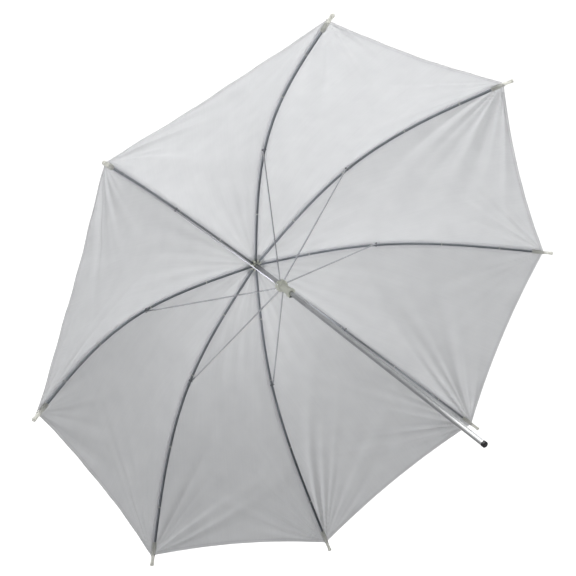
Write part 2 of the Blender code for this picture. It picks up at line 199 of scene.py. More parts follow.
def rib_axes(number):
    """(out from the shaft, sideways) at one rib; down the shaft is -Y everywhere."""
    turn = (number - 1) * RIB_STEP
    out = np.array([math.sin(turn), 0.0, math.cos(turn)])
    side = np.array([-math.cos(turn), 0.0, math.sin(turn)])
    return out, side


def in_rib_frame(number, x, y, depth):
    """World points for distances out from the shaft, sideways, and below the crown."""
    out, side = rib_axes(number)
    points = np.multiply.outer(np.asarray(x, float), out)
    points = points + np.multiply.outer(np.asarray(y, float), side)
    points[..., 1] += CROWN_Y - np.asarray(depth, float)
    return points


def rib_slope(along):
    """The rib's slope down the shaft, in radians, at distances along it."""
    along = np.asarray(along, float)
    inner = np.minimum(along, RIVET_ALONG)
    slope = RIB_START + RIB_PEAK_BEND * inner**2 / (2 * RIVET_ALONG)
    outer = RIB_LENGTH - RIVET_ALONG
    past = np.clip(along - RIVET_ALONG, 0, outer)
    return slope + RIB_PEAK_BEND * (past - past**2 / (2 * outer))


LINE_STEP = 0.25 * MM
LINE_ALONG = np.arange(0, RIB_LENGTH + 30 * MM, LINE_STEP)
_middles = rib_slope(LINE_ALONG[:-1] + LINE_STEP / 2)
LINE_OUT = np.concatenate([[0], np.cumsum(LINE_STEP * np.cos(_middles))])
LINE_DEPTH = np.concatenate([[0], np.cumsum(LINE_STEP * np.sin(_middles))])


def rib_line(along, lift=0.0):
    """(radius, depth) of points along a rib, lifted off its convex side."""
    along = np.asarray(along, float)
    slope = rib_slope(along)
    behind = np.minimum(along, 0)
    radius = PIVOT_RADIUS + np.interp(along, LINE_ALONG, LINE_OUT) + behind * np.cos(slope)
    depth = np.interp(along, LINE_ALONG, LINE_DEPTH) + behind * np.sin(slope)
    return radius + lift * np.sin(slope), depth - lift * np.cos(slope)


# ---------------------------------------------------------------- the canopy's surface

def hem_along(way):
    """How far down a gore its hem lies: the edge is hollow between the tips."""
    return RIB_LENGTH + CLOTH_PAST_RIB - HEM_SCALLOP * 4 * way * (1 - way)


def share_of(along, way):
    return (along - CLOTH_START) / (hem_along(way) - CLOTH_START)


def tip_fan(gore, end):
    """The folds that fan out from one tip into a gore: (bearing, spread, reach, height)."""
    chance = random.Random(100 * gore + end)
    folds = []
    for i in range(FAN_FOLDS):
        first, covered = FAN_BEARINGS
        bearing = math.radians(first + covered * (i + chance.uniform(0.2, 0.8)) / FAN_FOLDS)
        spread = math.radians(chance.uniform(*FAN_SPREADS))
        reach = chance.uniform(*FAN_REACHES)
        height = chance.choice((-1, 1, 1)) * chance.uniform(0.35, 1.0) * FAN_HEIGHT
        folds.append((bearing, spread, reach, height * TIP_FANS[gore][end]))
    for bearing, spread, reach, height in TIP_FOLDS.get((gore, end), ()):
        folds.append((math.radians(bearing), math.radians(spread), reach, height))
    return folds


FANS = {(g, e): tip_fan(g, e) for g in range(1, RIB_COUNT + 1) for e in (0, 1)}


def wrinkles(gore, along, way, radius):
    """How far the cloth stands off its smooth shape, outwards."""
    chord = 2 * math.sin(RIB_STEP / 2) * radius
    rise = np.zeros_like(along)
    for end in (0, 1):
        across = chord * (way if end == 0 else 1 - way)
        back = RIB_LENGTH + CLOTH_PAST_RIB - along
        distance = np.hypot(across, back) + 1e-6
        bearing = np.arctan2(across, back)
        for centre, spread, reach, height in FANS[gore, end]:
            bent = bearing - centre - 0.5 * distance * math.sin(9 * centre)
            fold = np.exp(-((bent / spread) ** 2))
            fold *= (distance / (distance + 0.05)) ** 1.6
            fold *= np.exp(-((distance / reach) ** 1.5))
            rise += height * fold
    # creases down the gore from being folded away, and a slow unevenness
    rise += 0.35 * MM * np.sin(34 * way + 1.3 * gore + 3 * along) * np.sin(9 * along)
    rise += 0.8 * MM * np.sin(19 * along + 5 * way + gore) * np.sin(7 * way + 2 * gore)
    tied = 1 - np.exp(-np.minimum(way, 1 - way) * chord / (5 * MM))
    return rise * tied


def painted_fold_shade_slope(gore, share, way):
    """The slope of a gore's folds across it, times how strongly painted shade follows them in
    its colour.
    """
    along = CLOTH_START + (hem_along(way) - CLOTH_START) * np.maximum(share, 0)
    radius = rib_line(along, CLOTH_OFFSET)[0]
    step = 2e-3
    rise = wrinkles(gore, along, way + step, radius) - wrinkles(gore, along, way - step, radius)
    slope = rise / (2 * step * 2 * math.sin(RIB_STEP / 2) * radius)
    return slope * PAINTED_FOLD_SHADE_STRENGTHS.get(gore, 0.0)


def canopy_surface(gore, share, way):
    """Points on the cloth's inner face, in world space, between ribs gore and gore + 1.

    share runs from 0 near the crown to 1 at the hem, and below 0 up to the clamped apex.
    way runs from the gore's first rib, 0, to its second.
    """
    share, way = np.broadcast_arrays(np.asarray(share, float), np.asarray(way, float))
    spread = np.maximum(share, 0)
    along = CLOTH_START + (hem_along(way) - CLOTH_START) * spread
    radius, depth = rib_line(along, CLOTH_OFFSET)
    rise = np.clip(-share / APEX_SHARE, 0, 1.05)
    radius = radius + (APEX_RADIUS - radius) * rise
    depth = depth + (APEX_DEPTH - depth) * rise**1.4
    slope = rib_slope(along)
    bow = 4 * way * (1 - way)
    sag = CLOTH_SAG * bow * np.sin(math.pi * np.clip(spread, 0, 1)) ** 0.7
    sag = sag - wrinkles(gore, along, way, radius) * np.clip(spread / 0.05, 0, 1)
    x = radius * (1 - way + way * math.cos(RIB_STEP))
    y = -radius * way * math.sin(RIB_STEP)
    x = x - sag * np.sin(slope) * np.cos(RIB_STEP * way)
    y = y + sag * np.sin(slope) * np.sin(RIB_STEP * way)
    return in_rib_frame(gore, x, y, depth + sag * np.cos(slope))


def canopy_grid(gore, share, way):
    """The surface's points and outward normals over a grid of shares and ways."""
    points = canopy_surface(gore, share, way)
    step = 1e-3
    low = np.maximum(way - step, 0)
    high = np.minimum(way + step, 1)
    across = canopy_surface(gore, share, high) - canopy_surface(gore, share, low)
    down = canopy_surface(gore, share + step, way) - canopy_surface(gore, share - step, way)
    normals = np.cross(down, across)
    normals /= np.linalg.norm(normals, axis=-1, keepdims=True)
    outward = np.sign(normals[..., 1:2].mean())
    return points, normals * outward


# ---------------------------------------------------------------- meshes

class Shell:
    """Collects thin closed sheets, each a grid of points between two offsets."""

    def __init__(self, name):
        self.name = name
        self.count = 0
        self.points = []
        self.faces = []
        self.normals = []
        self.weave = []
        self.edges = []
        self.folds = []
        self.slots = []

    def add(self, points, normals, inner, outer, weave, edges, slot=0, slope=None):
        """One sheet, with its UV maps over the same grid: weave and edges, both in metres, and
        folds, whose first value is the fold slope that sets the painted shade in the cloth's
        colour."""
        folds = np.zeros_like(edges)
        if slope is not None:
            folds[..., 0] = slope
        rows, columns = points.shape[:2]
        count = rows * columns
        corners = np.concatenate([
            (points + normals * offset).reshape(-1, 3) for offset in (inner, outer)
        ])
        index = np.arange(count).reshape(rows, columns)
        quads = np.stack([index[:-1, :-1], index[:-1, 1:], index[1:, 1:], index[1:, :-1]], -1)
        quads = quads.reshape(-1, 4)
        flat = normals.reshape(-1, 3)
        middle = quads[len(quads) // 2]
        facing = np.cross(corners[middle[1]] - corners[middle[0]],
                          corners[middle[2]] - corners[middle[0]])
        if facing @ flat[middle[0]] < 0:
            quads = quads[:, ::-1]
        border = np.concatenate([index[0], index[1:, -1], index[-1, -2::-1], index[-2:0:-1, 0]])
        rim = np.stack([border, np.roll(border, -1), np.roll(border, -1), border], -1)
        lift = np.array([0, 0, count, count])
        if facing @ flat[middle[0]] < 0:
            rim, lift = rim[:, ::-1], lift[::-1]
        wall = corners[rim + lift]
        outwards = np.cross(wall[:, 1] - wall[:, 0], wall[:, 2] - wall[:, 0])
        outwards /= np.linalg.norm(outwards, axis=1, keepdims=True) + 1e-12
        sheets = (
            (quads[:, ::-1], 0, -flat[quads[:, ::-1]]),
            (quads, count, flat[quads]),
            (rim, lift, np.repeat(outwards[:, None], 4, axis=1)),
        )
        for lookup, shift, facings in sheets:
            self.faces.append(lookup + shift + self.count)
            self.normals.append(facings.reshape(-1, 3))
            self.weave.append(weave.reshape(-1, 2)[lookup].reshape(-1, 2))
            self.edges.append(edges.reshape(-1, 2)[lookup].reshape(-1, 2))
            self.folds.append(folds.reshape(-1, 2)[lookup].reshape(-1, 2))
            self.slots.append(np.full(len(lookup), slot))
        self.points.append(corners)
        self.count += 2 * count

    def make(self, *materials):
        mesh = bpy.data.meshes.new(self.name)
        points = np.concatenate(self.points).tolist()
        mesh.from_pydata(points, [], np.concatenate(self.faces).tolist())
        for material in materials:
            mesh.materials.append(material)
        slots = np.concatenate(self.slots)
        mesh.polygons.foreach_set("material_index", slots.astype(np.int32))
        mesh.polygons.foreach_set("use_smooth", np.ones(len(slots), bool))
        maps = (("weave", self.weave), ("edges", self.edges), ("folds", self.folds))
        for label, values in maps:
            layer = mesh.uv_layers.new(name=label)
            layer.data.foreach_set("uv", np.concatenate(values).astype(np.float32).ravel())
        mesh.normals_split_custom_set(np.concatenate(self.normals).tolist())
        mesh.update()
        return link(self.name, mesh)


def link(name, data):
    obj = bpy.data.objects.new(name, data)
    bpy.context.scene.collection.objects.link(obj)
    return obj


def sweep(name, path, sides, ups, section, material, smooth=40):
    """A closed tube: section, as (side, up) points, carried along a path with its axes."""
    shape = bmesh.new()
    rings = []
    for place, side, up in zip(path, sides, ups):
        rings.append([
            shape.verts.new(Vector(place) + Vector(side) * s + Vector(up) * u)
            for s, u in section
        ])
    for ring, after in zip(rings, rings[1:]):
        for i in range(len(section)):
            j = (i + 1) % len(section)
            shape.faces.new((ring[i], ring[j], after[j], after[i]))
    shape.faces.new(rings[0][::-1])
    shape.faces.new(rings[-1])
    bmesh.ops.recalc_face_normals(shape, faces=shape.faces)
    return finish_shape(name, shape, material, smooth)


def finish_shape(name, shape, material, smooth=40):
    """Turns a bmesh into a piece, smooth except over edges sharper than smooth degrees."""
    mesh = bpy.data.meshes.new(name)
    shape.to_mesh(mesh)
    shape.free()
    mesh.materials.append(material)
    mesh.shade_smooth()
    mesh.set_sharp_from_angle(angle=math.radians(smooth))
    return link(name, mesh)


def turned(name, profile, place, axis, material, steps=48, smooth=35):
    """A turned piece: (radius, height) points from the bottom of its outer side upwards."""
    shape = bmesh.new()
    along = Vector(axis).normalized()
    first = along.orthogonal().normalized()
    second = along.cross(first)
    rings = []
    for radius, height in profile:
        centre = Vector(place) + along * height
        if radius < 1e-7:
            rings.append([shape.verts.new(centre)])
            continue
        rings.append([
            shape.verts.new(
                centre
                + first * radius * math.cos(2 * math.pi * i / steps)
                + second * radius * math.sin(2 * math.pi * i / steps)
            )
            for i in range(steps)
        ])
    for low, high in zip(rings, rings[1:]):
        for i in range(steps):
            j = (i + 1) % steps
            corners = [low[i % len(low)], low[j % len(low)],
                       high[j % len(high)], high[i % len(high)]]
            corners = list(dict.fromkeys(corners))
            if len(corners) > 2:
                shape.faces.new(corners)
    for ring in (rings[0], rings[-1]):
        if len(ring) > 1:
            shape.faces.new(ring)
    bmesh.ops.recalc_face_normals(shape, faces=shape.faces)
    return finish_shape(name, shape, material, smooth)


# ---------------------------------------------------------------- materials

class Nodes:
    """A material's node tree, with short ways to add and join nodes."""

    def __init__(self, name):
        self.material = bpy.data.materials.new(name)
        self.material.use_nodes = True
        self.tree = self.material.node_tree
        self.shader = self.tree.nodes["Principled BSDF"]
        self.output = self.tree.nodes["Material Output"]

    def add(self, kind, **settings):
        node = self.tree.nodes.new(kind)
        for key, value in settings.items():
            setattr(node, key, value)
        return node

    def join(self, start, end):
        self.tree.links.new(start, end)

    def set(self, **values):
        for key, value in values.items():
            self.shader.inputs[key.replace("_", " ")].default_value = value

    def math(self, operation, first, second=None):
        node = self.add("ShaderNodeMath", operation=operation)
        for socket, value in zip(node.inputs, (first, second)):
            if value is None:
                continue
            if isinstance(value, (int, float)):
                socket.default_value = value
            else:
                self.join(value, socket)
        return node.outputs[0]

    def noise(self, scale, detail=3.0, source="Object"):
        where = self.add("ShaderNodeTexCoord").outputs[source]
        node = self.add("ShaderNodeTexNoise")
        node.inputs["Scale"].default_value = scale
        node.inputs["Detail"].default_value = detail
        self.join(where, node.inputs["Vector"])
        return node.outputs["Fac"]

    def ramp(self, factor, low, high, start=0.3, end=0.7):
        """A blend from one colour to another as factor goes from start to end."""
        node = self.add("ShaderNodeValToRGB")
        node.color_ramp.elements[0].position = start
        node.color_ramp.elements[1].position = end
        node.color_ramp.elements[0].color = (*low, 1)
        node.color_ramp.elements[1].color = (*high, 1)
        self.join(factor, node.inputs["Fac"])
        return node.outputs["Color"]

    def span(self, factor, low, high):
        """factor, from 0 to 1, stretched to run from low to high."""
        node = self.add("ShaderNodeMapRange")
        node.inputs["To Min"].default_value = low
        node.inputs["To Max"].default_value = high
        self.join(factor, node.inputs["Value"])
        return node.outputs["Result"]

    def bump(self, height, strength, distance, before=None):
        node = self.add("ShaderNodeBump")
        node.inputs["Strength"].default_value = strength
        node.inputs["Distance"].default_value = distance
        self.join(height, node.inputs["Height"])
        if before is not None:
            self.join(before, node.inputs["Normal"])
        return node.outputs["Normal"]

    def let_through(self, color, share):
        """Lets a share of the light through the surface, scattered."""
        through = self.add("ShaderNodeBsdfTranslucent")
        self.join(color, through.inputs["Color"])
        both = self.add("ShaderNodeMixShader")
        both.inputs["Fac"].default_value = share
        self.join(self.shader.outputs[0], both.inputs[1])
        self.join(through.outputs[0], both.inputs[2])
        self.join(both.outputs[0], self.output.inputs["Surface"])


def metal(name, color, dark, roughness, drawn=0.3):
    """Steel with faint lengthwise drawing marks, uneven sheen and soft stains."""
    made = Nodes(name)
    made.set(Metallic=1.0)
    made.join(made.ramp(made.noise(45, 4), dark, color), made.shader.inputs["Base Color"])
    rub = made.noise(160, 3)
    made.join(made.span(rub, roughness * 0.75, roughness * 1.3), made.shader.inputs["Roughness"])
    made.join(made.bump(made.noise(420, 2), drawn, 0.02 * MM), made.shader.inputs["Normal"])
    return made.material


def plastic(name, color, dark, roughness, see_through=0.0):
    """Moulded plastic: a fine satin grain and slight clouding, milky where light gets in."""
    made = Nodes(name)
    made.set(Specular_IOR_Level=0.45)
    cloud = made.ramp(made.noise(220, 3), dark, color)
    made.join(cloud, made.shader.inputs["Base Color"])
    made.join(made.span(made.noise(700, 2), roughness * 0.85, roughness * 1.2),
              made.shader.inputs["Roughness"])
    made.join(made.bump(made.noise(3000, 2), 0.25, 0.03 * MM), made.shader.inputs["Normal"])
    if see_through:
        made.let_through(cloud, see_through)
    return made.material


def thread_cotton(name):
    """White sewing thread: twisted, matt, a little fuzzy."""
    made = Nodes(name)
    made.set(Roughness=0.85, Specular_IOR_Level=0.2, Sheen_Weight=0.3)
    made.join(made.ramp(made.noise(1400, 3), (0.74, 0.74, 0.70), (0.90, 0.90, 0.87)),
              made.shader.inputs["Base Color"])
    made.join(made.bump(made.noise(4000, 2), 0.5, 0.05 * MM), made.shader.inputs["Normal"])
    return made.material


# The nylon's weave, and its stitched rows' distances from a seam and from the hem
WEAVE_PITCH = 0.42 * MM
STITCH_PITCH = 3.0 * MM
SEAM_STITCH = 2.6 * MM
HEM_STITCH = 4.0 * MM
FAR_FROM_EDGE = 100 * MM  # stands for "no hem here"

# The slope at which a fold's painted shade has changed the cloth's colour in full, and by how
# much
FOLD_STEEP = 0.5
PAINTED_FOLD_SHADE_SHARE = 0.10


def nylon(name, color, dark, see_through):
    """White umbrella nylon: a plain weave, stitched rows, faint slubs, light through it, and
    painted shade on the sides of its folds.
    """
    made = Nodes(name)
    made.set(Roughness=0.62, Specular_IOR_Level=0.35, Sheen_Weight=0.1, Sheen_Roughness=0.4)
    weave = made.add("ShaderNodeUVMap", uv_map="weave").outputs["UV"]
    split = made.add("ShaderNodeSeparateXYZ")
    made.join(weave, split.inputs[0])
    edges = made.add("ShaderNodeUVMap", uv_map="edges").outputs["UV"]
    margins = made.add("ShaderNodeSeparateXYZ")
    made.join(edges, margins.inputs[0])
    threads = []
    for axis in (0, 1):
        turns = made.math("MULTIPLY", split.outputs[axis], 2 * math.pi / WEAVE_PITCH)
        threads.append(made.math("SINE", turns))
    cloth = made.math("MULTIPLY", threads[0], threads[1])
    slub = made.noise(35, 5)
    streak = made.add("ShaderNodeTexNoise")
    streak.inputs["Scale"].default_value = 1.0
    stretch = made.add("ShaderNodeMapping")
    stretch.inputs["Scale"].default_value = (420, 9, 1)
    made.join(weave, stretch.inputs["Vector"])
    made.join(stretch.outputs[0], streak.inputs["Vector"])
    tone = made.math("ADD", made.math("MULTIPLY", slub, 0.6),
                     made.math("MULTIPLY", streak.outputs["Fac"], 0.4))
    surface = made.ramp(tone, dark, color, 0.35, 0.65)
    # Painted shade: the colour is made lighter on one side of each fold and darker on the other,
    # from the fold's slope.
    folds = made.add("ShaderNodeUVMap", uv_map="folds").outputs["UV"]
    lean = made.add("ShaderNodeSeparateXYZ")
    made.join(folds, lean.inputs[0])
    painted_shade_range = made.add("ShaderNodeMapRange")
    painted_shade_range.inputs["From Min"].default_value = -FOLD_STEEP
    painted_shade_range.inputs["From Max"].default_value = FOLD_STEEP
    painted_shade_range.inputs["To Min"].default_value = 1 + PAINTED_FOLD_SHADE_SHARE
    painted_shade_range.inputs["To Max"].default_value = 1 - PAINTED_FOLD_SHADE_SHARE
    made.join(lean.outputs[0], painted_shade_range.inputs["Value"])
    shaded = made.add("ShaderNodeVectorMath", operation="SCALE")
    made.join(surface, shaded.inputs[0])
    made.join(painted_shade_range.outputs["Result"], shaded.inputs["Scale"])
    surface = shaded.outputs["Vector"]
    stitch = None
    for place, socket, run in (
        (SEAM_STITCH, margins.outputs[0], split.outputs[1]),
        (HEM_STITCH, margins.outputs[1], split.outputs[0]),
    ):
        off = made.math("ABSOLUTE", made.math("SUBTRACT", socket, place))
        row = made.math("LESS_THAN", off, 0.28 * MM)
        beat = made.math("FRACT", made.math("DIVIDE", run, STITCH_PITCH))
        dash = made.math("MULTIPLY", row, made.math("LESS_THAN", beat, 0.72))
        stitch = dash if stitch is None else made.math("MAXIMUM", stitch, dash)
    mix = made.add("ShaderNodeMix", data_type="RGBA")
    made.join(made.math("MULTIPLY", stitch, 0.55), mix.inputs["Factor"])
    made.join(surface, mix.inputs["A"])
    mix.inputs["B"].default_value = (0.55, 0.56, 0.60, 1)
    cloth_color = mix.outputs["Result"]
    made.join(cloth_color, made.shader.inputs["Base Color"])
    grain = made.bump(cloth, 0.35, 0.04 * MM)
    made.join(made.bump(stitch, 0.6, 0.15 * MM, grain), made.shader.inputs["Normal"])
    made.let_through(cloth_color, see_through)
    return made.material


def paint(material, *nodes):
    """Gives CAD nodes a finished material."""
    for name in nodes:
        mesh = frame["nodes"][name].data
        mesh.materials.clear()
        mesh.materials.append(material)


# ---------------------------------------------------------------- cloth pieces

def half_ways(side):
    """Where a rib's half gore lies across its gore: from its rib to the gore's middle."""
    ways = 0.5 * np.linspace(0, 1, CLOTH_COLUMNS + 1) ** 1.15
    return ways if side > 0 else 1 - ways


def gore_beside(number, side):
    """The gore on one side of a rib: its own number, or the one before."""
    return number if side > 0 else (number - 2) % RIB_COUNT + 1


def cut_share(way):
    """Where the cloth is divided between a rib's two stretches."""
    return share_of(FLEX_ALONG, way) + CUT_BOW * 4 * way * (1 - way)


def cloth_maps(share, way):
    """The two UV maps: (sideways, along) from the gore's middle line, and (from seam, hem)."""
    along = CLOTH_START + (hem_along(way) - CLOTH_START) * share
    radius = rib_line(along, CLOTH_OFFSET)[0]
    chord = 2 * math.sin(RIB_STEP / 2) * radius
    weave = np.stack([chord * (way - 0.5), along], -1)
    edges = np.stack([chord * np.minimum(way, 1 - way), hem_along(way) - along], -1)
    return weave, edges


def squash_axis(number, side, tilt, slope):
    """The direction that a half gore would flatten along as it folds into its pleat; nothing
    here folds it.
    """
    out, sideways = rib_axes(number)
    lifted = math.cos(slope) * out + math.sin(slope) * np.array([0, 1, 0])
    return math.cos(tilt) * -side * sideways - math.sin(tilt) * lifted, lifted


def half_gore(number, side, stretch, cloth, hem):
    """One side of a rib's cloth, from the apex to the flex or from the flex to the hem."""
    gore = gore_beside(number, side)
    way = half_ways(side)[None, :]
    cut = cut_share(way)
    if stretch == "inner":
        rows = np.linspace(0, 1, INNER_ROWS + 1)[:, None]
        share = -APEX_SHARE + (cut + APEX_SHARE) * rows**1.3
        body = f"rib_{number}"
        tilt, slope, lift = PLEAT_INNER
    else:
        rows = np.linspace(0, 1, OUTER_ROWS + 1)[:, None]
        hem_share = share_of(hem_along(way) - HEM_WIDTH + 0.2 * MM, way)
        share = cut + (hem_share - cut) * rows**0.85
        body = f"rib_{number}_end"
        tilt, slope, lift = PLEAT_OUTER
    way = np.broadcast_to(way, share.shape)
    points, normals = canopy_grid(gore, share, way)
    label = "right" if side > 0 else "left"
    shell = Shell(f"canopy_{number}_{label}_{stretch}")
    # The folds map carries the slope that paints shade into the cloth's colour along its folds.
    shell.add(points, normals, 0, CLOTH_THICK, *cloth_maps(share, way),
              slope=painted_fold_shade_slope(gore, share, way))
    if stretch == "outer":
        back = np.array([HEM_WIDTH, 0.65 * HEM_WIDTH, 0.3 * HEM_WIDTH, -0.25 * MM])[:, None]
        hem_way = half_ways(side)[None, :]
        hem_share = share_of(hem_along(hem_way) - back, hem_way)
        hem_way = np.broadcast_to(hem_way, hem_share.shape)
        edge_points, edge_normals = canopy_grid(gore, hem_share, hem_way)
        shell.add(edge_points, edge_normals, *HEM_FACES,
                  *cloth_maps(hem_share, hem_way), slot=1)
    piece = shell.make(cloth, hem)
    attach(piece, body)
    axis, lifted = squash_axis(number, side, tilt, slope)
    radius, depth = rib_line(FLEX_ALONG)
    anchor = in_rib_frame(number, radius, 0, depth) + lift * lifted
    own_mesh(piece)
    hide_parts(f"canopy_panel_{number}")


def seam_strip(number, stretch, cloth):
    """The seam allowance that lies between a rib and the cloth, both sides of the rib."""
    offsets = np.linspace(*SEAM_SIDES, SEAM_COLUMNS)[None, :]
    if stretch == "inner":
        start = CLOTH_START + 4 * MM
        along = np.linspace(start, FLEX_ALONG + SEAM_REACH, SEAM_INNER_ROWS)[:, None]
        body = f"rib_{number}"
    else:
        end = RIB_LENGTH + CLOTH_PAST_RIB - HEM_WIDTH
        along = np.linspace(FLEX_ALONG - SEAM_REACH, end, SEAM_OUTER_ROWS)[:, None]
        body = f"rib_{number}_end"
    radius = rib_line(along, CLOTH_OFFSET)[0]
    way = np.abs(offsets) / (radius * math.sin(RIB_STEP))
    share = share_of(along, way)
    points = np.empty(way.shape + (3,))
    normals = np.empty_like(points)
    for side in (1, -1):
        here = np.broadcast_to(offsets * side >= 0, way.shape)
        across = way if side > 0 else 1 - way
        part, facing = canopy_grid(gore_beside(number, side), share, across)
        points[here], normals[here] = part[here], facing[here]
    strip = Shell(f"seam_{number}_{stretch}")
    weave = np.stack(np.broadcast_arrays(offsets, along), -1)
    edges = np.stack(np.broadcast_arrays(np.abs(offsets), FAR_FROM_EDGE + 0 * along), -1)
    strip.add(points, normals, *SEAM_FACES, weave, edges)
    piece = strip.make(cloth)
    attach(piece, body)


def apex_rosette(cloth):
    """The round patch of cloth clamped on the crown, over the gores' points."""
    ways = np.tile(np.linspace(0, 1, ROSETTE_COLUMNS + 1)[:-1], RIB_COUNT)
    gores = np.repeat(np.arange(1, RIB_COUNT + 1), ROSETTE_COLUMNS)
    shares = np.linspace(-APEX_SHARE, ROSETTE_REACH, ROSETTE_ROWS)
    points = np.empty((len(shares), len(ways) + 1, 3))
    normals = np.empty_like(points)
    for i, (gore, way) in enumerate(zip(gores, ways)):
        part, facing = canopy_grid(int(gore), shares[:, None], np.array([[way]]))
        points[:, i], normals[:, i] = part[:, 0], facing[:, 0]
    points[:, -1], normals[:, -1] = points[:, 0], normals[:, 0]
    rosette = Shell("canopy_rosette")
    weave = points[..., [0, 2]]
    edges = np.full_like(weave, FAR_FROM_EDGE)
    rosette.add(points, normals, CLOTH_THICK, 2 * CLOTH_THICK, weave, edges)
    piece = rosette.make(cloth)
    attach(piece, "frame")


def build_canopy():
    cloth = nylon("canopy_cloth", (0.895, 0.90, 0.905), (0.855, 0.86, 0.867), 0.62)
    hem = nylon("canopy_hem", (0.895, 0.897, 0.902), (0.855, 0.857, 0.862), 0.60)
    seam = nylon("seam_cloth", (0.97, 0.97, 0.975), (0.95, 0.95, 0.955), 0.94)
    for number in range(1, RIB_COUNT + 1):
        for stretch in ("inner", "outer"):
            for side in (1, -1):
                half_gore(number, side, stretch, cloth, hem)
            seam_strip(number, stretch, seam)
    apex_rosette(cloth)


# ---------------------------------------------------------------- ribs

def rib_section():
    """The rib's U: rounded outer corners, the groove open to the canopy's inside."""
    half, top, sheet = RIB_WIDTH / 2, RIB_HEIGHT / 2, RIB_SHEET
    round_off = 0.9 * MM
    outline = [(-half, -top), (-half, top - round_off)]
    for degrees in (157.5, 135, 112.5, 90):
        a = math.radians(degrees)
        outline.append((-half + round_off + round_off * math.cos(a),
                        top - round_off + round_off * math.sin(a)))
    outline += [(-x, y) for x, y in outline[::-1]]
    inner = half - sheet
    groove = [(inner, -top), (inner, top - sheet - 0.4 * MM), (inner - 0.4 * MM, top - sheet)]
    return outline + groove + [(-x, y) for x, y in groove[::-1]]


def rib_frames(number, alongs, lift=0.0):
    """Places, sideways axes and outward axes at points along a rib."""
    radius, depth = rib_line(alongs, lift)
    slope = rib_slope(alongs)
    out, side = rib_axes(number)
    places = in_rib_frame(number, radius, np.zeros_like(radius), depth)
    ups = np.multiply.outer(np.sin(slope), out)
    ups[:, 1] += np.cos(slope)
    return places, np.broadcast_to(side, places.shape), ups


def rib_place(number, along):
    return tuple(rib_frames(number, np.array([along]))[0][0])


def build_rib(number, steel):
    alongs = np.linspace(-RIB_EYE_OVERHANG, RIB_LENGTH, RIB_ROWS)
    places, sides, ups = rib_frames(number, alongs)
    piece = sweep(f"rib_{number}", places, sides, ups, rib_section(), steel)
    rib_place(number, FLEX_ALONG - FLEX_REACH)
    rib_place(number, FLEX_ALONG + FLEX_REACH)
    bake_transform(piece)
    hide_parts(f"rib_{number}_inner", f"rib_{number}_outer")


def thread(name, path, radius, material):
    """A round thread along a path of points."""
    path = [Vector(point) for point in path]
    shape = bmesh.new()
    rings = []
    last = len(path) - 1
    up = None
    for i, place in enumerate(path):
        before = path[max(i - 1, 0)]
        after = path[min(i + 1, last)]
        ahead = (after - before).normalized()
        up = ahead.orthogonal() if up is None else up - ahead * up.dot(ahead)
        up.normalize()
        side = ahead.cross(up)
        rings.append([
            shape.verts.new(place + radius * (up * math.cos(a) + side * math.sin(a)))
            for a in (2 * math.pi * j / THREAD_SIDES for j in range(THREAD_SIDES))
        ])
    shape.faces.new(rings[0][::-1])
    shape.faces.new(rings[-1])
    for ring, after in zip(rings, rings[1:]):
        for i in range(THREAD_SIDES):
            j = (i + 1) % THREAD_SIDES
            shape.faces.new((ring[i], ring[j], after[j], after[i]))
    bmesh.ops.recalc_face_normals(shape, faces=shape.faces)
    return finish_shape(name, shape, material, 80)


def rib_tie(number, index, along, material):
    """Thread wound round a rib and through its seam, which holds the cloth on."""
    turns, steps, pitch = 4, 18, 0.55 * MM
    half = RIB_WIDTH / 2 + THREAD_RADIUS
    low = -RIB_HEIGHT / 2 - THREAD_RADIUS
    high = CLOTH_OFFSET + CLOTH_THICK / 2
    count = turns * steps + 1
    angles = np.linspace(0, 2 * math.pi * turns, count)
    places, sides, ups = rib_frames(number, along + pitch * angles / (2 * math.pi))
    across = half * np.sign(np.cos(angles)) * np.abs(np.cos(angles)) ** 0.5
    rise = np.sign(np.sin(angles)) * np.abs(np.sin(angles)) ** 0.7
    rise = (high + low) / 2 + (high - low) / 2 * rise
    path = places + sides * across[:, None] + ups * rise[:, None]
    piece = thread(f"tie_{number}_{index}", path, THREAD_RADIUS, material)
    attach(piece, f"rib_{number}" if along < FLEX_ALONG else f"rib_{number}_end")


def rib_end_frame(number):
    """The rib's free end: its place, and unit vectors sideways, outwards and onwards."""
    places, sides, ups = rib_frames(number, np.array([RIB_LENGTH]))
    side, up = Vector(sides[0]), Vector(ups[0])
    onward = side.cross(up)
    out = Vector(rib_axes(number)[0])
    return Vector(places[0]), side, up, onward * math.copysign(1, onward.dot(out))


